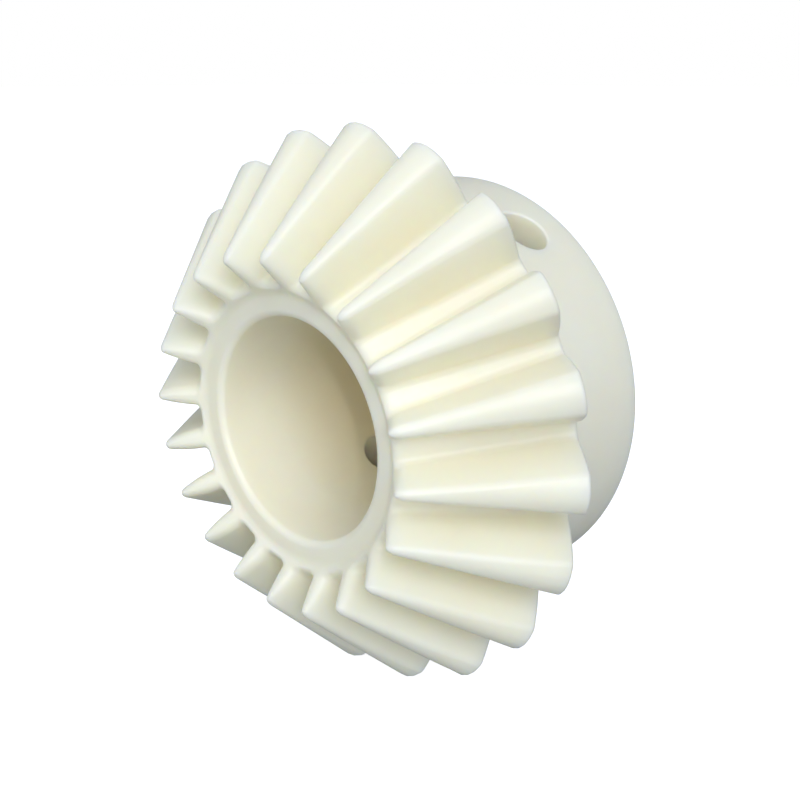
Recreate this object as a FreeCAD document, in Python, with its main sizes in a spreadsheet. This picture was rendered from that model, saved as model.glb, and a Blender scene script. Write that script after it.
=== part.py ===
"""Mitre gear for a 25 mm shaft: a moulded 20-tooth straight bevel gear and its two hub set screws.

Row frame: origin on the bore axis, halfway along the bore. +Y runs from the small end of the teeth
to the back of the hub, +Z is up. Lengths are millimetres and angles are degrees.

Gear frame: origin at the apex of the pitch cone, +Z along the bore towards the hub. Gap 0 is centred
on +X. Angles about the gear axis are counted from +X towards +Y.
"""
import FreeCAD, Part
import math
import os
import Sketcher

DIMS = {
    # Teeth. The tooth gaps taper evenly from the large end to the small end.
    "tooth_count": 20,
    "tooth_module": 3.0,
    "pitch_angle": 45.0,
    "face_width": 18.5,
    "addendum": 3.0,
    "small_addendum": 3.2,
    "dedendum": 4.0,
    "small_dedendum": 1.55,
    "gap_width": 3.7,
    "small_gap_width": 3.2,
    "flank_angle": 20.0,
    "small_flank_angle": 12.0,
    "flank_curve": 0.03,
    # Blank: distances along the axis are from the pitch apex.
    "ring_distance": 18.8,
    "mounting_distance": 48.0,
    "bore_diameter": 25.0,
    "bore_chamfer": 0.4,
    "hub_diameter": 50.0,
    "hub_chamfer": 0.6,
    # Radial holes, straight through both hub walls.
    "hole_diameter": 6.0,
    "hole_setback": 7.5,
    "hole_angle": 22.5,
    # The gear's turn about its own axis, from +Z.
    "gap_angle": 11.0,
    # Set screws with a cup point and a hexagon socket.
    "screw_diameter": 5.9,
    "screw_length": 5.0,
    "screw_recess": 4.4,
    "screw_chamfer": 0.5,
    "cup_diameter": 3.0,
    "cup_depth": 0.8,
    "socket_flats": 3.0,
    "socket_depth": 2.6,
}
# How far the gap cut runs on past the teeth, in millimetres.
OVERRUN = 1.5
# Where the root arc of a gap meets its flanks, as a part of the depth below the pitch cone.
ROOT_JOIN = 0.72

PITCH_RADIUS = "(dims.tooth_count * dims.tooth_module / 2)"
CONE_DISTANCE = f"({PITCH_RADIUS} / sin(dims.pitch_angle))"
BORE_LENGTH = "(dims.mounting_distance - dims.ring_distance)"


def make_sheet(doc):
    """Write the driving dimensions into a spreadsheet, one aliased cell each."""
    sheet = doc.addObject("Spreadsheet::Sheet", "dims")
    for row, (name, value) in enumerate(DIMS.items(), start=1):
        sheet.set(f"A{row}", name)
        sheet.set(f"B{row}", str(value))
        sheet.setAlias(f"B{row}", name)
    doc.recompute()
    return sheet


def number(sheet, expression):
    """The value of an expression in the sheet's cells, as a plain float."""
    value = sheet.evalExpression(expression)
    return float(getattr(value, "Value", value))


def make_body(doc, label):
    body = doc.addObject("PartDesign::Body", label)
    body.Label = label
    return body


def origin_feature(body, role):
    return next(item for item in body.Origin.OriginFeatures if item.Role == role)


def make_sketch(body, name, role):
    sketch = body.newObject("Sketcher::SketchObject", name)
    sketch.AttachmentSupport = [(origin_feature(body, role), "")]
    sketch.MapMode = "FlatFace"
    return sketch


def bind(sketch, constraint, expression):
    """Add a dimension to the sketch and tie it to an expression."""
    index = sketch.addConstraint(constraint)
    sketch.setExpression(f"Constraints[{index}]", expression)


def place_point(sketch, sheet, edge, end, across, along):
    """Tie one end of an edge to its two coordinates, each an expression of zero or more."""
    for kind, expression in (("DistanceX", across), ("DistanceY", along)):
        value = number(sheet, expression)
        bind(sketch, Sketcher.Constraint(kind, -1, 1, edge, end, value), expression)


def closed_outline(sketch, sheet, corners):
    """Straight edges through corners, each corner a pair of expressions."""
    points = [
        FreeCAD.Vector(number(sheet, across), number(sheet, along), 0)
        for across, along in corners
    ]
    count = len(points)
    for index in range(count):
        sketch.addGeometry(Part.LineSegment(points[index], points[(index + 1) % count]))
    for index in range(count):
        sketch.addConstraint(Sketcher.Constraint("Coincident", index, 2, (index + 1) % count, 1))
    for index, (across, along) in enumerate(corners):
        place_point(sketch, sheet, index, 1, across, along)


def revolve(body, name, sketch):
    feature = body.newObject("PartDesign::Revolution", name)
    feature.Profile = sketch
    feature.ReferenceAxis = (sketch, ["V_Axis"])
    feature.Angle = 360
    return feature


def on_pitch_cone(distance, height):
    """Radius and axial place of a point, as expressions.

    distance runs along the pitch cone from its apex, and height stands square to the cone.
    """
    radius = f"({distance}) * sin(dims.pitch_angle) + ({height}) * cos(dims.pitch_angle)"
    axial = f"({distance}) * cos(dims.pitch_angle) - ({height}) * sin(dims.pitch_angle)"
    return radius, axial


def add_blank(body, sheet):
    """The turned blank: front ring, front cone, tip cone, back cone, hub and bore."""
    bore = "dims.bore_diameter / 2"
    hub = "dims.hub_diameter / 2"
    small_end = f"{CONE_DISTANCE} - dims.face_width"
    front_sum = f"({small_end}) / cos(dims.pitch_angle)"
    back_sum = f"{CONE_DISTANCE} / cos(dims.pitch_angle)"
    corners = [
        (f"{bore} + dims.bore_chamfer", "dims.ring_distance"),
        (f"({front_sum} - dims.ring_distance) / tan(dims.pitch_angle)", "dims.ring_distance"),
        on_pitch_cone(small_end, "dims.small_addendum"),
        on_pitch_cone(CONE_DISTANCE, "dims.addendum"),
        (hub, f"{back_sum} - {hub} * tan(dims.pitch_angle)"),
        (hub, "dims.mounting_distance - dims.hub_chamfer"),
        (f"{hub} - dims.hub_chamfer", "dims.mounting_distance"),
        (f"{bore} + dims.bore_chamfer", "dims.mounting_distance"),
        (bore, "dims.mounting_distance - dims.bore_chamfer"),
        (bore, "dims.ring_distance + dims.bore_chamfer"),
    ]
    sketch = make_sketch(body, "blank_section", "XZ_Plane")
    closed_outline(sketch, sheet, corners)
    return revolve(body, "blank", sketch)


def tapered(sheet, share, name, scale=1.0):
    """A tooth dimension at a share of the way from the small end to the large end."""
    small = number(sheet, f"dims.small_{name}")
    large = number(sheet, f"dims.{name}")
    return (small + (large - small) * share) * scale


def gap_point(sheet, share, height):
    """The flank point at a height above the pitch cone, in the sketch of one tooth gap."""
    lean = math.tan(tapered(sheet, share, "flank_angle", math.radians(1)))
    curve = number(sheet, "dims.flank_curve")
    half_width = tapered(sheet, share, "gap_width", 0.5) + lean * height + curve * height**2
    return FreeCAD.Vector(half_width, height, 0)


def add_gap_section(body, sheet, name, distance):
    """A sketch of one tooth gap, square to the pitch cone at a distance from its apex."""
    past_small_end = number(sheet, f"{distance} - {CONE_DISTANCE} + dims.face_width")
    share = past_small_end / number(sheet, "dims.face_width")
    depth = tapered(sheet, share, "dedendum")
    top = tapered(sheet, share, "addendum") + OVERRUN
    floor = FreeCAD.Vector(0, -depth, 0)
    right = [gap_point(sheet, share, height) for height in (-ROOT_JOIN * depth, 0, top)]
    left = [FreeCAD.Vector(-point.x, point.y, 0) for point in right]

    sketch = make_sketch(body, name, "YZ_Plane")
    square = FreeCAD.Rotation(FreeCAD.Vector(1, 0, 0), 90 + number(sheet, "dims.pitch_angle"))
    sketch.AttachmentOffset = FreeCAD.Placement(FreeCAD.Vector(), square)
    sketch.setExpression("AttachmentOffset.Rotation.Angle", "90 + dims.pitch_angle")
    sketch.setExpression("AttachmentOffset.Base.y", f"({distance}) * cos(dims.pitch_angle)")
    sketch.setExpression("AttachmentOffset.Base.z", f"({distance}) * sin(dims.pitch_angle)")
    # Root arc, one arc up the right flank, the open top, and the left flank back down.
    edges = [
        Part.Arc(left[0], floor, right[0]),
        Part.Arc(right[0], right[1], right[2]),
        Part.LineSegment(right[2], left[2]),
        Part.Arc(left[2], left[1], left[0]),
    ]
    for edge in edges:
        sketch.addGeometry(edge)
    return sketch


def add_teeth(body, sheet):
    """Cut one gap between its two end sections, then repeat it round the axis."""
    past_large_end = f"{CONE_DISTANCE} + {OVERRUN}"
    before_small_end = f"{CONE_DISTANCE} - dims.face_width - {OVERRUN}"
    outer = add_gap_section(body, sheet, "gap_large_end", past_large_end)
    inner = add_gap_section(body, sheet, "gap_small_end", before_small_end)
    gap = body.newObject("PartDesign::SubtractiveLoft", "tooth_gap")
    gap.Profile = outer
    gap.Sections = [inner]
    gap.Ruled = True
    teeth = body.newObject("PartDesign::PolarPattern", "teeth")
    teeth.Originals = [gap]
    teeth.Axis = (origin_feature(body, "Z_Axis"), [""])
    teeth.Angle = 360
    teeth.setExpression("Occurrences", "dims.tooth_count")
    body.Tip = teeth
    return teeth


def add_radial_holes(body, sheet):
    """One straight drilling through both walls of the hub."""
    sketch = make_sketch(body, "radial_hole_section", "YZ_Plane")
    sketch.AttachmentOffset = FreeCAD.Placement(
        FreeCAD.Vector(), FreeCAD.Rotation(FreeCAD.Vector(0, 1, 0), 1)
    )
    sketch.setExpression("AttachmentOffset.Rotation.Angle", "dims.hole_angle")
    height = "dims.mounting_distance - dims.hole_setback"
    centre = FreeCAD.Vector(0, number(sheet, height), 0)
    radius = number(sheet, "dims.hole_diameter / 2")
    sketch.addGeometry(Part.Circle(centre, FreeCAD.Vector(0, 0, 1), radius))
    sketch.addConstraint(Sketcher.Constraint("PointOnObject", 0, 3, -2))
    bind(sketch, Sketcher.Constraint("DistanceY", -1, 1, 0, 3, centre.y), height)
    bind(sketch, Sketcher.Constraint("Diameter", 0, 2 * radius), "dims.hole_diameter")
    pocket = body.newObject("PartDesign::Pocket", "radial_holes")
    pocket.Profile = sketch
    pocket.Type = "ThroughAll"
    pocket.Midplane = True
    body.Tip = pocket
    return pocket


def gear_rotation(extra_turn):
    """Turn the gear frame's +Z to the row's +Y and its +X to the row's +Z, then turn about +Y."""
    upright = FreeCAD.Rotation(FreeCAD.Vector(1, 1, 1), 240)
    return FreeCAD.Rotation(FreeCAD.Vector(0, 1, 0), extra_turn).multiply(upright)


def make_gear(doc, sheet):
    body = make_body(doc, "gear_body")
    add_blank(body, sheet)
    doc.recompute()
    blank_volume = body.Shape.Volume
    add_teeth(body, sheet)
    doc.recompute()
    toothed_volume = body.Shape.Volume
    add_radial_holes(body, sheet)
    doc.recompute()
    if not blank_volume > toothed_volume > body.Shape.Volume:
        raise RuntimeError("a cut in gear_body removed nothing")
    middle = number(sheet, f"dims.ring_distance + {BORE_LENGTH} / 2")
    body.Placement = FreeCAD.Placement(
        FreeCAD.Vector(0, -middle, 0), gear_rotation(number(sheet, "dims.gap_angle"))
    )
    return body


def make_screw(doc, sheet, label, angle):
    """A set screw whose axis points outwards at an angle from +Z, its tip clear of the bore."""
    body = make_body(doc, label)
    radius = "dims.screw_diameter / 2"
    cup = "dims.cup_diameter / 2"
    corners = [
        ("0", "dims.cup_depth"),
        (cup, "0"),
        (radius, f"{radius} - {cup}"),
        (radius, "dims.screw_length - dims.screw_chamfer"),
        (f"{radius} - dims.screw_chamfer", "dims.screw_length"),
        ("0", "dims.screw_length"),
    ]
    section = make_sketch(body, f"{label}_section", "XZ_Plane")
    closed_outline(section, sheet, corners)
    revolve(body, f"{label}_turned", section)
    doc.recompute()
    turned_volume = body.Shape.Volume

    socket = make_sketch(body, f"{label}_hexagon", "XY_Plane")
    socket.setExpression("AttachmentOffset.Base.z", "dims.screw_length")
    corner_radius = number(sheet, "dims.socket_flats / 2 / cos(30)")
    corner = [
        FreeCAD.Vector(
            corner_radius * math.cos(math.radians(60 * turn)),
            corner_radius * math.sin(math.radians(60 * turn)),
            0,
        )
        for turn in range(6)
    ]
    for turn in range(6):
        socket.addGeometry(Part.LineSegment(corner[turn], corner[(turn + 1) % 6]))
    for turn in range(6):
        socket.addConstraint(Sketcher.Constraint("Coincident", turn, 2, (turn + 1) % 6, 1))
    pocket = body.newObject("PartDesign::Pocket", f"{label}_socket")
    pocket.Profile = socket
    pocket.setExpression("Length", "dims.socket_depth")
    body.Tip = pocket
    doc.recompute()
    if not turned_volume > body.Shape.Volume:
        raise RuntimeError(f"the socket of {label} removed nothing")

    tip = number(sheet, "dims.bore_diameter / 2 + dims.screw_recess")
    side = number(sheet, f"{BORE_LENGTH} / 2 - dims.hole_setback")
    turn = FreeCAD.Rotation(FreeCAD.Vector(0, 1, 0), angle)
    outward = turn.multVec(FreeCAD.Vector(0, 0, 1))
    body.Placement = FreeCAD.Placement(outward * tip + FreeCAD.Vector(0, side, 0), turn)
    return body


def check(doc, bodies):
    """Stop if any object failed, or if a sub-part isn't one valid solid."""
    for item in doc.Objects:
        if "Invalid" in item.State or "Error" in item.State:
            raise RuntimeError(f"{item.Name} failed: {item.State}")
    for body in bodies:
        shape = body.Shape
        if shape.isNull() or not shape.isValid() or len(shape.Solids) != 1:
            raise RuntimeError(f"{body.Label} isn't one valid solid")


def main():
    os.makedirs("parts", exist_ok=True)
    doc = FreeCAD.newDocument("mitre_gear")
    sheet = make_sheet(doc)
    hole_angle = number(sheet, "dims.gap_angle + dims.hole_angle")
    bodies = [
        make_gear(doc, sheet),
        make_screw(doc, sheet, "upper_set_screw", hole_angle),
        make_screw(doc, sheet, "lower_set_screw", hole_angle + 180),
    ]
    doc.recompute()
    check(doc, bodies)
    for body in bodies:
        body.Shape.exportStep(f"parts/{body.Label}.step")
        print(body.Label, round(body.Shape.Volume, 1), body.Shape.BoundBox)


main()
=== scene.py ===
"""Looks of the mitre gear: a moulded nylon gear with two black hub set screws.

Shapes are worked out in the gear frame, in millimetres: origin at the apex of the pitch cone, the
axial coordinate runs along the bore towards the hub, and angles about the axis count from the
centre of gap 0. The gear is one watertight skin of rows that run round the axis, each with the same
number of columns.
"""

import math

import bpy
import numpy as np
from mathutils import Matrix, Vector


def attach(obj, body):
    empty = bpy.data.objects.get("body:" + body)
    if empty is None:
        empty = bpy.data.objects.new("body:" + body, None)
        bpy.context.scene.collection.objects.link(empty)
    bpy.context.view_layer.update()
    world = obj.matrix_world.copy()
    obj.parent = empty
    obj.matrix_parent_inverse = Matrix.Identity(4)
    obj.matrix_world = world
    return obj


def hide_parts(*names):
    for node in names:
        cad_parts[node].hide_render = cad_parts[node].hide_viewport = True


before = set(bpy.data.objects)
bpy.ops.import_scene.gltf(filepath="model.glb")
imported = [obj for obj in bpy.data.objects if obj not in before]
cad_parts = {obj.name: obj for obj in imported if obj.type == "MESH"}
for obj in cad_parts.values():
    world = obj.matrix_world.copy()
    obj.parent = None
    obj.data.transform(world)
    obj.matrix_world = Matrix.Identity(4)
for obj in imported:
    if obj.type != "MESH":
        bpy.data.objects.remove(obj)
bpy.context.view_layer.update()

MM = 0.001
EPS = 1e-6
ARC_STEPS = 6

# Gear, in millimetres and degrees, as in the CAD part.
TOOTH_COUNT = 20
MODULE = 3.0
PITCH_ANGLE = math.radians(45.0)
FACE_WIDTH = 18.5
ADDENDUM = (3.2, 3.0)
DEDENDUM = (1.55, 4.0)
GAP_WIDTH = (3.2, 3.7)
FLANK_ANGLE = (math.radians(12.0), math.radians(20.0))
FLANK_CURVE = 0.03
RING_DISTANCE = 18.8
MOUNTING_DISTANCE = 48.0
BORE_RADIUS = 12.5
BORE_CHAMFER = 0.4
HUB_RADIUS = 25.0
HUB_CHAMFER = 0.6
HOLE_RADIUS = 3.0
HOLE_SETBACK = 7.5
HOLE_ANGLE = math.radians(22.5)
GAP_ANGLE = math.radians(11.0)

CONE_DISTANCE = TOOTH_COUNT * MODULE / 2 / math.sin(PITCH_ANGLE)
SMALL_DISTANCE = CONE_DISTANCE - FACE_WIDTH
MIDDLE = (RING_DISTANCE + MOUNTING_DISTANCE) / 2
HOLE_AXIAL = MOUNTING_DISTANCE - HOLE_SETBACK

# Moulded roundings. Pairs are at the small end and at the large end of the teeth.
CROWN_RADIUS = (2.0, 3.2)
TIP_RADIUS = (0.72, 1.25)
ROOT_RADIUS = (0.7, 0.8)
END_RADIUS = (1.15, 0.4)
END_LENGTH = (1.3, 0.4)
END_DROP = 0.5
RING_FILLET = 1.0
MOUTH_RADIUS = 0.8
HUB_FILLET = 0.8
EDGE_RADIUS = 0.5
HOLE_EDGE = 0.3

# Room that a tooth leaves for the roundings: shares of its thickness and of its tip radius, and how
# a radius shrinks until it fits.
END_THICKNESS_SHARE = 0.85
END_TIP_SHARE = 0.95
SHRINK = 0.97
SHRINK_TRIES = 40

# Mesh density. Row steps are along the outline. A patch is (half its columns, its rows).
HALF_PITCH = math.pi / TOOTH_COUNT
FLOOR_STEPS = 3
FLANK_STEPS = 7
CROWN_STEPS = 2
HALF_COLUMNS = FLOOR_STEPS + ARC_STEPS + FLANK_STEPS + ARC_STEPS + CROWN_STEPS
COLUMNS = 2 * HALF_COLUMNS * TOOTH_COUNT
FLANK_SAMPLES = 241
FACE_STEPS = 18
CONE_STEPS = 9
RING_STEPS = 9
TURNED_STEP = 1.2
PATCH_HALF_HEIGHT = 4.2
OUTER_PATCH = (26, 92)
INNER_PATCH = (52, 40)
PATCH_LEAD_STEPS = 3
OUTER_TAIL_STEPS = 4
INNER_TAIL_STEPS = 12
PATCH_RINGS = 7
WALL_RINGS = 12

# Set screws, in millimetres. Their axial coordinate runs from the tip to the driven end.
SCREW_RADIUS = 2.95
SCREW_LENGTH = 5.0
SCREW_RECESS = 4.4
SCREW_CHAMFER = 0.5
THREAD_PITCH = 1.0
THREAD_DEPTH = 0.5
THREAD_SHARPNESS = 1.35
THREAD_FLAT = 0.1
CUP_RADIUS = 1.5
CUP_DEPTH = 0.8
CUP_SHARES = (0.04, 0.3, 0.6, 0.85, 0.97)
SOCKET_FLATS = 3.0
SOCKET_DEPTH = 2.6
SOCKET_BEVEL = 0.1
SOCKET_CORNER_SHARE = 0.985
SCREW_COLUMNS = 96
THREAD_ROWS = 14
SOCKET_ROWS = 8

# Noise textures, as (scale per metre, detail, roughness).
CLOUD = (90.0, 3.0, 0.5)
GRAIN = (1500.0, 3.0, 0.6)
WAVES = (420.0, 4.0, 0.6)
WEAR = (900.0, 4.0, 0.6)
FINISH = (2400.0, 2.0, 0.5)
FLECK = (3.0, 2.0, 0.5)

# Nylon: its colour from cloud to cloud, its roughness, the painted shade deep in the bore, its
# waviness, and how far light spreads inside it.
NYLON_STOPS = [
    (0.3, (0.915, 0.875, 0.690)),
    (0.5, (0.930, 0.892, 0.715)),
    (0.7, (0.940, 0.907, 0.740)),
]
NYLON_ROUGHNESS = [(0.3, (0.34, 0.34, 0.34)), (0.7, (0.44, 0.44, 0.44))]
# Painted shade deep in the bore: the wall's colour is darkened and warmed towards this colour
# between these two axial places, within this depth of the wall.
PAINTED_BORE_SHADE = (0.92, 0.82, 0.60)
PAINTED_SHADE_FROM = -6.0
PAINTED_SHADE_TO = 8.0
PAINTED_SHADE_SKIN = 0.5
WAVE_STRENGTH = 0.12
WAVE_HEIGHT = 0.00004
NYLON_IOR = 1.53
SPREAD_WEIGHT = 0.6
SPREAD_COLOUR = (1.0, 0.8, 0.45)
SPREAD_LENGTH = 0.0035

# Black oxide steel: its colour and its roughness, from fresh to worn.
STEEL_STOPS = [(0.35, (0.035, 0.033, 0.032)), (0.7, (0.075, 0.07, 0.066))]
STEEL_METALLIC = 0.85
STEEL_ROUGHNESS = [(0.3, (0.3, 0.3, 0.3)), (0.7, (0.48, 0.48, 0.48))]

FLOOR_STOPS = [(0.3, (0.93, 0.93, 0.93)), (0.7, (0.95, 0.95, 0.95))]
FLOOR_HALF_SIZE = 6.0
FLOOR_CLEARANCE = 0.0001
FLOOR_GLOW = 0.7

# Light: where the studio is brightest, its level from the far side to that side, and its share from
# before the gear to behind it.
LIGHT_FROM = (0.5, -0.4, 0.77)
SKY_STRENGTH = 0.86
SKY_STOPS = [
    (0.0, (0.27, 0.30, 0.35)),
    (0.35, (0.48, 0.53, 0.62)),
    (0.6, (0.74, 0.81, 0.95)),
    (1.0, (0.91, 1.0, 1.17)),
]
BEHIND_STOPS = [
    (0.0, (0.80, 0.77, 0.70)),
    (0.5, (1.0, 1.0, 1.0)),
    (0.75, (0.66, 0.65, 0.63)),
    (0.9, (0.26, 0.25, 0.24)),
    (1.0, (0.04, 0.04, 0.04)),
]

# Lamps: azimuth and elevation in degrees, distance and size in metres, power in watts.
KEY_FROM = (52.0, 33.0)
KEY_DISTANCE = 0.6
KEY_SIZE = 0.35
KEY_POWER = 1.55
KEY_COLOUR = (1.0, 1.0, 1.08)
SPOT_FROM = (50.0, 20.0)
SPOT_DISTANCE = 0.3
SPOT_HALF_ANGLE = 1.9
SPOT_POWER = 1.6
SPOT_BLEND = 0.8
SPOT_SIZE = 0.012

# The photograph's viewing angle, about a point near the middle of the bore.
CAMERA_FROM = (43.31, 17.9)
CAMERA_DISTANCE = 0.11823
CAMERA_AIM = (0.00117, 0.00117, 0.00014)
CAMERA_LENS = 45.16
CAMERA_SENSOR = 36.0
CAMERA_NEAR = 0.005
CAMERA_FAR = 50.0


def half_thickness(distance, height):
    """Half the tooth thickness at a height above the pitch cone: half a pitch less half a gap."""
    share = (distance - SMALL_DISTANCE) / FACE_WIDTH
    radius = distance * math.sin(PITCH_ANGLE) + height * math.cos(PITCH_ANGLE)
    lean = between([math.tan(angle) for angle in FLANK_ANGLE], share)
    half_gap = between(GAP_WIDTH, share) / 2 + lean * height + FLANK_CURVE * height**2
    return radius * HALF_PITCH - half_gap


def between(pair, share):
    """From the small end's value to the large end's."""
    return pair[0] + (pair[1] - pair[0]) * share


def crossing(values, target):
    """Where an evenly sampled list last rises past a target, as a fractional index."""
    below = min(int(np.nonzero(values < target)[0][-1]), len(values) - 2)
    return below + float((target - values[below]) / (values[below + 1] - values[below]))


def at(values, index):
    """An evenly sampled list read at a fractional index."""
    return float(np.interp(index, np.arange(len(values)), values))


def half_section(distance):
    """Half a tooth section from the gap centre to the tooth centre.

    Returns columns of x from the tooth centre, height, and the outward normal's two parts, and the
    tip radius that the tooth has room for.
    """
    share = (distance - SMALL_DISTANCE) / FACE_WIDTH
    floor = -between(DEDENDUM, share)
    crown = between(ADDENDUM, share)
    height = np.linspace(floor, crown, FLANK_SAMPLES)
    x = np.array([half_thickness(distance, h) for h in height])
    slope = np.gradient(x, height)
    normal = np.stack([np.ones_like(slope), -slope], 1) / np.hypot(1, slope)[:, None]

    def beside(radius):
        """Points a radius off the flank."""
        return x + radius * normal[:, 0], height + radius * normal[:, 1]

    # The tip arc touches the flank and, from inside, the wide arc of the domed crown.
    dome = between(CROWN_RADIUS, share)
    tip = between(TIP_RADIUS, share)
    for _ in range(SHRINK_TRIES):
        across, up = beside(-tip)
        reach = np.hypot(across, up - crown + dome)
        tip_at = crossing(reach, dome - tip)
        tip_x, tip_h = at(across, tip_at), at(up, tip_at)
        if tip_x >= 0:
            break
        tip *= SHRINK
    # The root arc touches the flank and the level floor.
    gap_x = (distance * math.sin(PITCH_ANGLE) + floor * math.cos(PITCH_ANGLE)) * HALF_PITCH
    root = between(ROOT_RADIUS, share)
    for _ in range(SHRINK_TRIES):
        across, up = beside(root)
        root_at = crossing(up, floor + root)
        root_x, root_h = at(across, root_at), floor + root
        if root_x <= gap_x:
            break
        root *= SHRINK

    columns = []
    for t in np.linspace(0, 1, FLOOR_STEPS + 1)[:-1]:
        columns.append((gap_x + (root_x - gap_x) * t, floor, 0.0, 1.0))
    end = math.atan2(at(normal[:, 0], root_at), at(normal[:, 1], root_at))
    for t in np.linspace(0, 1, ARC_STEPS + 1)[:-1]:
        a = end * t
        across, up = math.sin(a), math.cos(a)
        columns.append((root_x - root * across, root_h - root * up, across, up))
    for index in np.linspace(root_at, tip_at, FLANK_STEPS + 1)[:-1]:
        across, up = at(normal[:, 0], index), at(normal[:, 1], index)
        columns.append((at(x, index), at(height, index), across, up))
    start = math.atan2(at(normal[:, 0], tip_at), at(normal[:, 1], tip_at))
    shoulder = math.atan2(tip_x, tip_h - crown + dome)
    for a in np.linspace(start, shoulder, ARC_STEPS + 1)[:-1]:
        across, up = math.sin(a), math.cos(a)
        columns.append((tip_x + tip * across, tip_h + tip * up, across, up))
    for a in np.linspace(shoulder, 0, CROWN_STEPS + 1):
        across, up = math.sin(a), math.cos(a)
        columns.append((dome * across, crown - dome * (1 - up), across, up))
    return np.array(columns), tip


def section(distance, part=0.0, end_radius=0.0):
    """Angles from the tooth centre and heights of half a section, moved inwards by an end rounding.

    The full rounding is the end radius, or less where the tooth is too thin for it.
    """
    columns, tip = half_section(distance)
    x, h, nx, nh = columns.T
    by_thickness = np.minimum(end_radius, END_THICKNESS_SHARE * x)
    inset = np.maximum(by_thickness, min(end_radius, END_TIP_SHARE * tip))
    inset = part * np.minimum(inset, END_DROP / np.maximum(nh, 0.01))
    radius = distance * math.sin(PITCH_ANGLE) + h * math.cos(PITCH_ANGLE)
    moved = h - inset * nh
    moved_radius = distance * math.sin(PITCH_ANGLE) + moved * math.cos(PITCH_ANGLE)
    return x / radius - inset * nx / moved_radius, moved


def tooth_row(distance, angle, height):
    """A full row from half a section: angle about the axis, radius and axial place per column."""
    angle = np.broadcast_to(angle, (HALF_COLUMNS + 1,))
    height = np.broadcast_to(height, (HALF_COLUMNS + 1,))
    one = np.concatenate([HALF_PITCH - angle, (HALF_PITCH + angle)[-2:0:-1]])
    tall = np.concatenate([height, height[-2:0:-1]])
    turns = np.arange(TOOTH_COUNT)[:, None] * 2 * HALF_PITCH
    phi = (turns + one[None, :]).ravel()
    tall = np.tile(tall, TOOTH_COUNT)
    radius = distance * math.sin(PITCH_ANGLE) + tall * math.cos(PITCH_ANGLE)
    axial = distance * math.cos(PITCH_ANGLE) - tall * math.sin(PITCH_ANGLE)
    return np.stack([phi, radius, axial], 1)


def round_row(radius, axial):
    """A full circular row."""
    phi = np.arange(COLUMNS) * 2 * math.pi / COLUMNS
    return np.stack([phi, np.full(COLUMNS, radius), np.full(COLUMNS, axial)], 1)


def rounded(corners, radii):
    """A polyline through (radius, axial) corners with an arc of the given radius at each."""
    points = [np.array(c, float) for c in corners]
    line = [points[0]]
    for index in range(1, len(points) - 1):
        here = points[index]
        back = points[index - 1] - here
        ahead = points[index + 1] - here
        back, ahead = back / np.linalg.norm(back), ahead / np.linalg.norm(ahead)
        turn = math.acos(max(-1.0, min(1.0, float(back @ ahead))))
        reach = radii[index - 1] / math.tan(turn / 2)
        bisector = (back + ahead) / np.linalg.norm(back + ahead)
        centre = here + bisector * radii[index - 1] / math.sin(turn / 2)
        first, last = here + back * reach, here + ahead * reach
        for t in np.linspace(0, 1, ARC_STEPS + 1):
            chord = first + (last - first) * t - centre
            line.append(centre + chord / np.linalg.norm(chord) * radii[index - 1])
    line.append(points[-1])
    return line


def split(first, last, count):
    """Inner points of a straight run, both ends left out."""
    return [first + (last - first) * t for t in np.linspace(0, 1, count + 1)[1:-1]]


def toothed_rows():
    """Rows from the front cone's foot, over the teeth, to the back cone's foot."""
    foot = HUB_FILLET * math.tan(PITCH_ANGLE / 2)
    ring_foot = RING_FILLET * math.tan(PITCH_ANGLE / 2)
    even = HALF_PITCH * (1 - np.arange(HALF_COLUMNS + 1) / HALF_COLUMNS)
    front_low = SMALL_DISTANCE - RING_DISTANCE / math.cos(PITCH_ANGLE) + ring_foot
    back_low = (HUB_RADIUS - CONE_DISTANCE * math.sin(PITCH_ANGLE)) / math.cos(PITCH_ANGLE) + foot
    rows = []
    small_angle, small_height = section(SMALL_DISTANCE, 1.0, END_RADIUS[0])
    for t in np.linspace(0, 1, CONE_STEPS + 1)[:-1]:
        height = front_low + (small_height - front_low) * t
        rows.append(tooth_row(SMALL_DISTANCE, small_angle, height))
    for beta in np.linspace(0, math.pi / 2, ARC_STEPS + 1)[:-1]:
        distance = SMALL_DISTANCE + END_LENGTH[0] * (1 - math.cos(beta))
        rows.append(tooth_row(distance, *section(distance, 1 - math.sin(beta), END_RADIUS[0])))
    first, last = SMALL_DISTANCE + END_LENGTH[0], CONE_DISTANCE - END_LENGTH[1]
    for distance in np.linspace(first, last, FACE_STEPS + 1)[:-1]:
        rows.append(tooth_row(distance, *section(distance)))
    for beta in np.linspace(math.pi / 2, 0, ARC_STEPS + 1)[:-1]:
        distance = CONE_DISTANCE - END_LENGTH[1] * (1 - math.cos(beta))
        rows.append(tooth_row(distance, *section(distance, 1 - math.sin(beta), END_RADIUS[1])))
    large_angle, large_height = section(CONE_DISTANCE, 1.0, END_RADIUS[1])
    for t in np.linspace(1, 0, CONE_STEPS + 1):
        angle = even + (large_angle - even) * t
        rows.append(tooth_row(CONE_DISTANCE, angle, back_low + (large_height - back_low) * t))
    return rows


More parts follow.
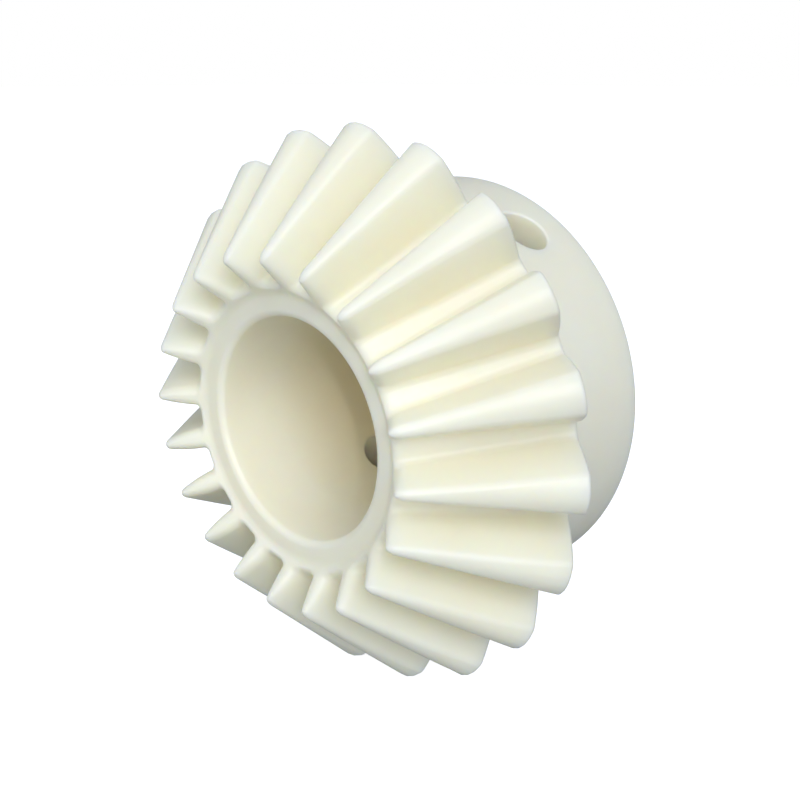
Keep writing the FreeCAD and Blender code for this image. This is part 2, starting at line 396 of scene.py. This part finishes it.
def turned_line():
    """The turned rest of the outline as (radius, axial) points, and where the two patches start."""
    cone_foot = (HUB_RADIUS, 2 * CONE_DISTANCE * math.cos(PITCH_ANGLE) - HUB_RADIUS)
    ring_edge = 2 * SMALL_DISTANCE * math.cos(PITCH_ANGLE) - RING_DISTANCE
    corners = [
        (cone_foot[0] + 2, cone_foot[1] - 2),
        cone_foot,
        (HUB_RADIUS, MOUNTING_DISTANCE - HUB_CHAMFER),
        (HUB_RADIUS - HUB_CHAMFER, MOUNTING_DISTANCE),
        (BORE_RADIUS + BORE_CHAMFER, MOUNTING_DISTANCE),
        (BORE_RADIUS, MOUNTING_DISTANCE - BORE_CHAMFER),
        (BORE_RADIUS, RING_DISTANCE),
        (ring_edge, RING_DISTANCE),
        (ring_edge + 2, RING_DISTANCE - 2),
    ]
    edge = EDGE_RADIUS
    radii = [HUB_FILLET, edge, edge, edge, edge, MOUTH_RADIUS, RING_FILLET]
    line = rounded(corners, radii)[2:-2]
    result = []
    patches = {}
    for point, ahead in zip(line[:-1], line[1:]):
        result.append(point)
        length = float(np.linalg.norm(ahead - point))
        axial = abs(ahead[1] - point[1]) > 0.9 * length
        if axial and length > 2 * PATCH_HALF_HEIGHT:
            outer = point[0] > (HUB_RADIUS + BORE_RADIUS) / 2
            count, tail = OUTER_PATCH[1], OUTER_TAIL_STEPS
            if not outer:
                count, tail = INNER_PATCH[1], INNER_TAIL_STEPS
            way = 1 if ahead[1] > point[1] else -1
            low = np.array([point[0], HOLE_AXIAL - way * PATCH_HALF_HEIGHT])
            high = np.array([point[0], HOLE_AXIAL + way * PATCH_HALF_HEIGHT])
            result += split(point, low, PATCH_LEAD_STEPS)
            patches["outer" if outer else "inner"] = len(result)
            result += [low] + split(low, high, count) + [high]
            result += split(high, ahead, tail)
        elif length > TURNED_STEP:
            on_ring = abs(point[1] - RING_DISTANCE) < EPS
            steps = RING_STEPS if on_ring else max(2, int(length / TURNED_STEP))
            result += split(point, ahead, steps)
    result.append(line[-1])
    return result, patches


def to_row(phi, radius, axial):
    """Row-frame position in metres of gear-frame cylinder coordinates."""
    turn = phi + GAP_ANGLE
    return np.stack([radius * np.sin(turn), axial - MIDDLE, radius * np.cos(turn)], -1) * MM


def build_gear():
    """Vertices and faces of the gear's skin, with a polar patch at each mouth of a radial hole."""
    rows = toothed_rows()
    line, patches = turned_line()
    start = {name: len(rows) + index for name, index in patches.items()}
    # Across the ring's flat face the columns spread out evenly from where the teeth need them.
    flat = [point[0] for point in line if abs(point[1] - RING_DISTANCE) < EPS]
    foot = rows[0][:, 0]
    for point in line:
        row = round_row(*point)
        if point[1] < RING_DISTANCE + EPS:
            share = min(1.0, (point[0] - min(flat)) / (max(flat) - min(flat)))
            row[:, 0] += (foot - row[:, 0]) * share
        rows.append(row)
    count = len(rows)
    verts = [to_row(*np.array(row).T) for row in rows]
    index = np.arange(count * COLUMNS).reshape(count, COLUMNS)
    keep = np.ones((count, COLUMNS), bool)
    hole_column = round(HOLE_ANGLE / (2 * math.pi) * COLUMNS)
    loops = []
    for turn in (0, COLUMNS // 2):
        centre = hole_column + turn
        pair = {}
        for name, (half, tall) in (("outer", OUTER_PATCH), ("inner", INNER_PATCH)):
            top = start[name]
            columns = [(centre + k) % COLUMNS for k in range(-half, half + 1)]
            for row in range(top, top + tall):
                keep[row, columns[:-1]] = False
            loop = [(top, c) for c in columns[:-1]]
            loop += [(top + k, columns[-1]) for k in range(tall)]
            loop += [(top + tall, c) for c in columns[:0:-1]]
            loop += [(top + tall - k, columns[0]) for k in range(tall)]
            pair[name] = loop
        loops.append((centre * 2 * math.pi / COLUMNS, pair))
    faces = []
    ahead = np.roll(index, -1, 0)
    for row in range(count):
        a, b = index[row], np.roll(index[row], -1)
        c, d = np.roll(ahead[row], -1), ahead[row]
        faces.append(np.stack([a, b, c, d], 1)[keep[row]])
    total = count * COLUMNS
    for angle, pair in loops:
        rings = hole_rings(angle, pair, rows)
        ids = [np.array([index[r, c] for r, c in pair["outer"]])]
        for ring in rings:
            ids.append(np.arange(total, total + len(ring)))
            total += len(ring)
            verts.append(ring)
        ids.append(np.array([index[r, c] for r, c in pair["inner"]]))
        for low, high in zip(ids[:-1], ids[1:]):
            faces.append(np.stack([low, np.roll(low, -1), np.roll(high, -1), high], 1))
    return np.concatenate(verts), np.concatenate(faces)


def hole_rings(angle, pair, rows):
    """Rings of vertices from the outer patch's border, down the hole, to the inner one's border."""
    borders = {}
    spin = {}
    for name, loop in pair.items():
        points = np.array([rows[r][c] for r, c in loop])
        across = points[:, 1] * np.sin(points[:, 0] - angle)
        along = points[:, 2] - HOLE_AXIAL
        borders[name] = (across, along)
        spin[name] = np.sign(np.sum(across * np.roll(along, -1) - np.roll(across, -1) * along))
    # Both borders must run the same way round, from matching corners.
    if spin["outer"] != spin["inner"]:
        pair["inner"] = [pair["inner"][0]] + pair["inner"][:0:-1]
        across, along = borders["inner"]
        borders["inner"] = (
            np.concatenate([across[:1], across[:0:-1]]),
            np.concatenate([along[:1], along[:0:-1]]),
        )
    # Turn the inner loop so that it starts nearest to where the outer one does.
    across, along = borders["inner"]
    theta = np.arctan2(along, across)
    first = math.atan2(borders["outer"][1][0], borders["outer"][0][0])
    gap = np.abs((theta - first + math.pi) % (2 * math.pi) - math.pi)
    shift = int(np.argmin(gap))
    pair["inner"] = pair["inner"][shift:] + pair["inner"][:shift]
    borders["inner"] = (np.roll(across, -shift), np.roll(along, -shift))

    thetas = {n: np.unwrap(np.arctan2(b, a)) for n, (a, b) in borders.items()}
    inner_turns = round((thetas["inner"][0] - thetas["outer"][0]) / (2 * math.pi))
    thetas["inner"] = thetas["inner"] - 2 * math.pi * inner_turns

    def place(across, along, outward):
        phi = angle + np.arctan2(across, outward)
        return to_row(phi, np.hypot(across, outward), along + HOLE_AXIAL)

    def patch(name, radius, side):
        """Rings from the border in to the mouth, then over the rounded edge into the hole."""
        across, along = borders[name]
        theta = thetas[name]
        mouth = HOLE_RADIUS + HOLE_EDGE
        rings = []
        for t in np.linspace(0, 1, PATCH_RINGS + 1)[1:]:
            a = across * (1 - t) + mouth * np.cos(theta) * t
            b = along * (1 - t) + mouth * np.sin(theta) * t
            rings.append(place(a, b, np.sqrt(radius**2 - a**2)))
        for bend in np.linspace(0, math.pi / 2, ARC_STEPS)[1:]:
            reach = mouth - HOLE_EDGE * math.sin(bend)
            depth = HOLE_EDGE * (1 - math.cos(bend))
            a = reach * np.cos(theta)
            b = reach * np.sin(theta)
            rings.append(place(a, b, np.sqrt(radius**2 - a**2) - side * depth))
        return rings

    outer = patch("outer", HUB_RADIUS, 1)
    inner = patch("inner", BORE_RADIUS, -1)
    wall = []
    for t in np.linspace(0, 1, WALL_RINGS + 1)[1:-1]:
        theta = thetas["outer"] * (1 - t) + thetas["inner"] * t
        a = HOLE_RADIUS * np.cos(theta)
        b = HOLE_RADIUS * np.sin(theta)
        top = np.sqrt(HUB_RADIUS**2 - a**2) - HOLE_EDGE
        low = np.sqrt(BORE_RADIUS**2 - a**2) + HOLE_EDGE
        wall.append(place(a, b, top * (1 - t) + low * t))
    return outer + wall + inner[::-1]


def add_mesh(name, verts, faces, node, body, material):
    """A smooth piece that rides a body and stands for a CAD node."""
    mesh = bpy.data.meshes.new(name)
    mesh.from_pydata([tuple(v) for v in verts], [], [tuple(int(i) for i in f) for f in faces])
    mesh.validate()
    mesh.polygons.foreach_set("use_smooth", [True] * len(mesh.polygons))
    mesh.materials.append(material)
    mesh.update()
    piece = bpy.data.objects.new(name, mesh)
    bpy.context.scene.collection.objects.link(piece)
    make_outward(mesh)
    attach(piece, body)
    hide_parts(node)
    return piece


def make_outward(mesh):
    """Flip all faces if the signed volume says that they point inwards."""
    mesh.calc_loop_triangles()
    corners = np.zeros(len(mesh.loop_triangles) * 3, np.int32)
    mesh.loop_triangles.foreach_get("vertices", corners)
    points = np.zeros(len(mesh.vertices) * 3, np.float32)
    mesh.vertices.foreach_get("co", points)
    tri = points.reshape(-1, 3)[corners.reshape(-1, 3)].astype(float)
    volume = np.einsum("ij,ij->i", tri[:, 0], np.cross(tri[:, 1], tri[:, 2])).sum() / 6
    if volume < 0:
        mesh.flip_normals()


def build_screw():
    """A threaded set screw, in rows from the cup point to the floor of the hexagon socket."""
    theta = np.arange(SCREW_COLUMNS) * 2 * math.pi / SCREW_COLUMNS
    rows = []

    def ring(radius, axial):
        radius = np.broadcast_to(radius, theta.shape)
        axial = np.broadcast_to(axial, theta.shape)
        rows.append(np.stack([radius * np.cos(theta), radius * np.sin(theta), axial], 1))

    cup = CUP_RADIUS
    for share in CUP_SHARES:
        ring(cup * share, CUP_DEPTH * (1 - share))
    ring(cup + 0.03, 0.0)
    core = SCREW_RADIUS - THREAD_DEPTH
    low = core - cup
    ring(cup + 0.09, 0.05)
    ring(core - 0.1, low - 0.1)
    steps = int(SCREW_LENGTH / THREAD_PITCH * THREAD_ROWS)
    for axial in np.linspace(low, SCREW_LENGTH - 0.12, steps):
        wave = ((axial / THREAD_PITCH - theta / (2 * math.pi)) % 1.0) * 2 - 1
        crest = np.clip((1 - np.abs(wave)) * THREAD_SHARPNESS - THREAD_FLAT, 0, 1)
        limit_low = cup + axial
        limit_high = SCREW_RADIUS - max(0.0, axial - SCREW_LENGTH + SCREW_CHAMFER)
        radius = np.minimum(core + THREAD_DEPTH * crest, min(limit_low, limit_high))
        ring(radius, axial)
    top = SCREW_RADIUS - SCREW_CHAMFER
    ring(top - 0.1, SCREW_LENGTH - 0.02)
    ring(top - 0.2, SCREW_LENGTH)
    half_turn = (theta % (math.pi / 3)) - math.pi / 6
    hexagon = SOCKET_FLATS / 2 / np.cos(half_turn)
    corner = SOCKET_FLATS / 2 / math.cos(math.pi / 6) * SOCKET_CORNER_SHARE
    hexagon = np.minimum(hexagon, corner)
    ring(hexagon * 0.5 + (top - 0.2) * 0.5, SCREW_LENGTH)
    ring(hexagon + SOCKET_BEVEL, SCREW_LENGTH)
    ring(hexagon + 0.03, SCREW_LENGTH - 0.03)
    floor = SCREW_LENGTH - SOCKET_DEPTH
    for axial in np.linspace(SCREW_LENGTH - SOCKET_BEVEL, floor, SOCKET_ROWS):
        ring(hexagon, axial)
    ring(hexagon * 0.93, floor)
    ring(hexagon * 0.5, floor)
    ring(hexagon * 0.05, floor)
    count = len(rows)
    verts = np.concatenate(rows)
    index = np.arange(count * SCREW_COLUMNS).reshape(count, SCREW_COLUMNS)
    faces = []
    for low_row, high_row in zip(index[:-1], index[1:]):
        quads = np.stack([low_row, np.roll(low_row, -1), np.roll(high_row, -1), high_row], 1)
        faces += [tuple(q) for q in quads]
    faces.append(tuple(index[0][::-1]))
    faces.append(tuple(index[-1]))
    return verts, faces


def place_screw(points, angle):
    """Screw points moved into the hub at an angle about the gear axis, in row-frame metres."""
    turn = angle + GAP_ANGLE
    outward = np.array([math.sin(turn), 0.0, math.cos(turn)])
    along = np.array([0.0, 1.0, 0.0])
    across = np.cross(along, outward)
    base = outward * (BORE_RADIUS + SCREW_RECESS) + along * (HOLE_AXIAL - MIDDLE)
    spread = points[:, 0:1] * across + points[:, 1:2] * along + points[:, 2:3] * outward
    return (base + spread) * MM


def node(tree, kind, **settings):
    """A new shader node with its own settings."""
    made = tree.nodes.new(kind)
    for key, value in settings.items():
        setattr(made, key, value)
    return made


def new_material(name):
    """A material with only a principled shader on its surface."""
    material = bpy.data.materials.new(name)
    material.use_nodes = True
    tree = material.node_tree
    tree.nodes.clear()
    shader = node(tree, "ShaderNodeBsdfPrincipled")
    output = node(tree, "ShaderNodeOutputMaterial")
    tree.links.new(shader.outputs["BSDF"], output.inputs["Surface"])
    return material, tree, shader


def noise(tree, scale, detail, roughness):
    """A noise texture on object coordinates, which ride with the piece."""
    coordinates = node(tree, "ShaderNodeTexCoord")
    texture = node(tree, "ShaderNodeTexNoise")
    texture.inputs["Scale"].default_value = scale
    texture.inputs["Detail"].default_value = detail
    texture.inputs["Roughness"].default_value = roughness
    tree.links.new(coordinates.outputs["Object"], texture.inputs["Vector"])
    return texture.outputs["Fac"]


def ramp(tree, source, stops):
    """A colour ramp fed by a value."""
    made = node(tree, "ShaderNodeValToRGB")
    elements = made.color_ramp.elements
    elements[0].position, elements[0].color = stops[0][0], (*stops[0][1], 1)
    elements[1].position, elements[1].color = stops[-1][0], (*stops[-1][1], 1)
    for position, colour in stops[1:-1]:
        elements.new(position).color = (*colour, 1)
    tree.links.new(source, made.inputs["Fac"])
    return made.outputs["Color"]


def remap(tree, source, low, high):
    """A value's place between two ends, from 0 to 1."""
    made = node(tree, "ShaderNodeMapRange")
    made.inputs["From Min"].default_value = low
    made.inputs["From Max"].default_value = high
    tree.links.new(source, made.inputs["Value"])
    return made.outputs["Result"]


def bore_painted_shade(tree):
    """Painted shade on the bore wall: a darker, warmer colour from its middle to the back of the
    hub, standing in for the shade deep in the bore.
    """
    place = node(tree, "ShaderNodeTexCoord").outputs["Object"]
    flat = node(tree, "ShaderNodeVectorMath", operation="MULTIPLY")
    flat.inputs[1].default_value = (1.0, 0.0, 1.0)
    tree.links.new(place, flat.inputs[0])
    radius = node(tree, "ShaderNodeVectorMath", operation="LENGTH")
    tree.links.new(flat.outputs["Vector"], radius.inputs[0])
    parts = node(tree, "ShaderNodeSeparateXYZ")
    tree.links.new(place, parts.inputs[0])
    skin = (BORE_RADIUS + PAINTED_SHADE_SKIN) * MM
    inside = remap(tree, radius.outputs["Value"], skin, BORE_RADIUS * MM)
    deep = remap(tree, parts.outputs["Y"], PAINTED_SHADE_FROM * MM, PAINTED_SHADE_TO * MM)
    both = node(tree, "ShaderNodeMath", operation="MULTIPLY")
    tree.links.new(inside, both.inputs[0])
    tree.links.new(deep, both.inputs[1])
    return ramp(tree, both.outputs["Value"], [(0.0, (1.0, 1.0, 1.0)), (1.0, PAINTED_BORE_SHADE)])


def nylon():
    """Natural nylon: ivory, slightly see-through, with faint clouding, a fine moulded grain and
    painted shade deep in the bore.
    """
    material, tree, shader = new_material("natural_nylon")
    cloud = noise(tree, *CLOUD)
    colour = ramp(tree, cloud, NYLON_STOPS)
    with_painted_shade = node(tree, "ShaderNodeVectorMath", operation="MULTIPLY")
    tree.links.new(colour, with_painted_shade.inputs[0])
    # Painted shade: the base colour darkens and warms towards the back of the bore.
    tree.links.new(bore_painted_shade(tree), with_painted_shade.inputs[1])
    tree.links.new(with_painted_shade.outputs["Vector"], shader.inputs["Base Color"])
    grain = noise(tree, *GRAIN)
    tree.links.new(ramp(tree, grain, NYLON_ROUGHNESS), shader.inputs["Roughness"])
    bump = node(tree, "ShaderNodeBump")
    bump.inputs["Strength"].default_value = WAVE_STRENGTH
    bump.inputs["Distance"].default_value = WAVE_HEIGHT
    waves = noise(tree, *WAVES)
    tree.links.new(waves, bump.inputs["Height"])
    tree.links.new(bump.outputs["Normal"], shader.inputs["Normal"])
    shader.inputs["IOR"].default_value = NYLON_IOR
    shader.inputs["Subsurface Weight"].default_value = SPREAD_WEIGHT
    shader.inputs["Subsurface Radius"].default_value = SPREAD_COLOUR
    shader.inputs["Subsurface Scale"].default_value = SPREAD_LENGTH
    return material


def black_steel():
    """Black oxide steel: dark, half matt, with worn patches."""
    material, tree, shader = new_material("black_oxide_steel")
    wear = noise(tree, *WEAR)
    tree.links.new(ramp(tree, wear, STEEL_STOPS), shader.inputs["Base Color"])
    finish = noise(tree, *FINISH)
    tree.links.new(ramp(tree, finish, STEEL_ROUGHNESS), shader.inputs["Roughness"])
    shader.inputs["Metallic"].default_value = STEEL_METALLIC
    return material


def floor_material():
    """A pale matt floor that glows a little, so that it meets the white backdrop without a line."""
    material, tree, shader = new_material("pale_floor")
    fleck = noise(tree, *FLECK)
    tree.links.new(ramp(tree, fleck, FLOOR_STOPS), shader.inputs["Base Color"])
    shader.inputs["Roughness"].default_value = 0.9
    shader.inputs["Specular IOR Level"].default_value = 0.0
    shader.inputs["Emission Color"].default_value = (1.0, 1.0, 1.0, 1.0)
    shader.inputs["Emission Strength"].default_value = FLOOR_GLOW
    return material


def add_floor():
    """The floor just below the teeth. It throws no light back on the gear."""
    size = FLOOR_HALF_SIZE
    reach = CONE_DISTANCE * math.sin(PITCH_ANGLE) + ADDENDUM[1] * math.cos(PITCH_ANGLE)
    level = -reach * MM - FLOOR_CLEARANCE
    mesh = bpy.data.meshes.new("floor")
    corners = [(-size, -size), (size, -size), (size, size), (-size, size)]
    mesh.from_pydata([(x, y, level) for x, y in corners], [], [(0, 1, 2, 3)])
    mesh.materials.append(floor_material())
    floor = bpy.data.objects.new("floor", mesh)
    bpy.context.scene.collection.objects.link(floor)
    floor.visible_diffuse = False
    floor.visible_glossy = False


def aim(name, data, target, angles, distance):
    """A lamp or camera that looks at a target from an azimuth and elevation in degrees."""
    azimuth, elevation = [math.radians(angle) for angle in angles]
    level = math.cos(elevation)
    away = Vector((math.sin(azimuth) * level, -math.cos(azimuth) * level, math.sin(elevation)))
    placed = bpy.data.objects.new(name, data)
    placed.location = Vector(target) + away * distance
    placed.rotation_euler = away.to_track_quat("Z", "Y").to_euler()
    bpy.context.scene.collection.objects.link(placed)
    return placed


def add_key_light():
    """A square soft light aimed at the gear."""
    light = bpy.data.lights.new("key", "AREA")
    light.size = KEY_SIZE
    light.energy = KEY_POWER
    light.color = KEY_COLOUR
    aim("key", light, (0.0, 0.0, 0.0), KEY_FROM, KEY_DISTANCE)


def add_bore_spot():
    """A narrow soft spot into the front mouth of the bore."""
    light = bpy.data.lights.new("bore_spot", "SPOT")
    light.energy = SPOT_POWER
    light.spot_size = math.radians(2 * SPOT_HALF_ANGLE)
    light.spot_blend = SPOT_BLEND
    light.shadow_soft_size = SPOT_SIZE
    mouth = (0.0, (RING_DISTANCE - MIDDLE) * MM, 0.0)
    aim("bore_spot", light, mouth, SPOT_FROM, SPOT_DISTANCE)


def add_world():
    """A studio, brightest above and before the gear and dark behind it, on a white backdrop."""
    world = bpy.data.worlds.new("studio")
    bpy.context.scene.world = world
    world.use_nodes = True
    tree = world.node_tree
    tree.nodes.clear()
    coordinates = node(tree, "ShaderNodeTexCoord")
    facing = node(tree, "ShaderNodeVectorMath", operation="DOT_PRODUCT")
    facing.inputs[1].default_value = Vector(LIGHT_FROM).normalized()
    tree.links.new(coordinates.outputs["Generated"], facing.inputs[0])
    sky = ramp(tree, remap(tree, facing.outputs["Value"], -1, 1), SKY_STOPS)
    parts = node(tree, "ShaderNodeSeparateXYZ")
    tree.links.new(coordinates.outputs["Generated"], parts.inputs[0])
    shade = ramp(tree, remap(tree, parts.outputs["Y"], -1, 1), BEHIND_STOPS)
    both = node(tree, "ShaderNodeVectorMath", operation="MULTIPLY")
    tree.links.new(sky, both.inputs[0])
    tree.links.new(shade, both.inputs[1])
    lighting = node(tree, "ShaderNodeBackground")
    lighting.inputs["Strength"].default_value = SKY_STRENGTH
    tree.links.new(both.outputs["Vector"], lighting.inputs["Color"])
    backdrop = node(tree, "ShaderNodeBackground")
    path = node(tree, "ShaderNodeLightPath")
    chosen = node(tree, "ShaderNodeMixShader")
    tree.links.new(path.outputs["Is Camera Ray"], chosen.inputs["Fac"])
    tree.links.new(lighting.outputs[0], chosen.inputs[1])
    tree.links.new(backdrop.outputs[0], chosen.inputs[2])
    backdrop.inputs["Color"].default_value = (1, 1, 1, 1)
    output = node(tree, "ShaderNodeOutputWorld")
    tree.links.new(chosen.outputs[0], output.inputs["Surface"])


def add_camera():
    """The camera at the photograph's viewing angle."""
    data = bpy.data.cameras.new("camera")
    data.lens = CAMERA_LENS
    data.sensor_width = CAMERA_SENSOR
    data.clip_start = CAMERA_NEAR
    data.clip_end = CAMERA_FAR
    bpy.context.scene.camera = aim("camera", data, CAMERA_AIM, CAMERA_FROM, CAMERA_DISTANCE)


nylon_material = nylon()
steel_material = black_steel()
gear_verts, gear_faces = build_gear()
add_mesh("gear", gear_verts, gear_faces, "gear_body", "gear", nylon_material)
screw_verts, screw_faces = build_screw()
for side, extra in (("upper", 0.0), ("lower", math.pi)):
    add_mesh(
        f"{side}_screw", place_screw(screw_verts, HOLE_ANGLE + extra), screw_faces,
        f"{side}_set_screw", f"{side}_screw", steel_material,
    )

add_floor()
add_world()
add_key_light()
add_bore_spot()
add_camera()
bpy.context.scene.view_settings.view_transform = "Standard"
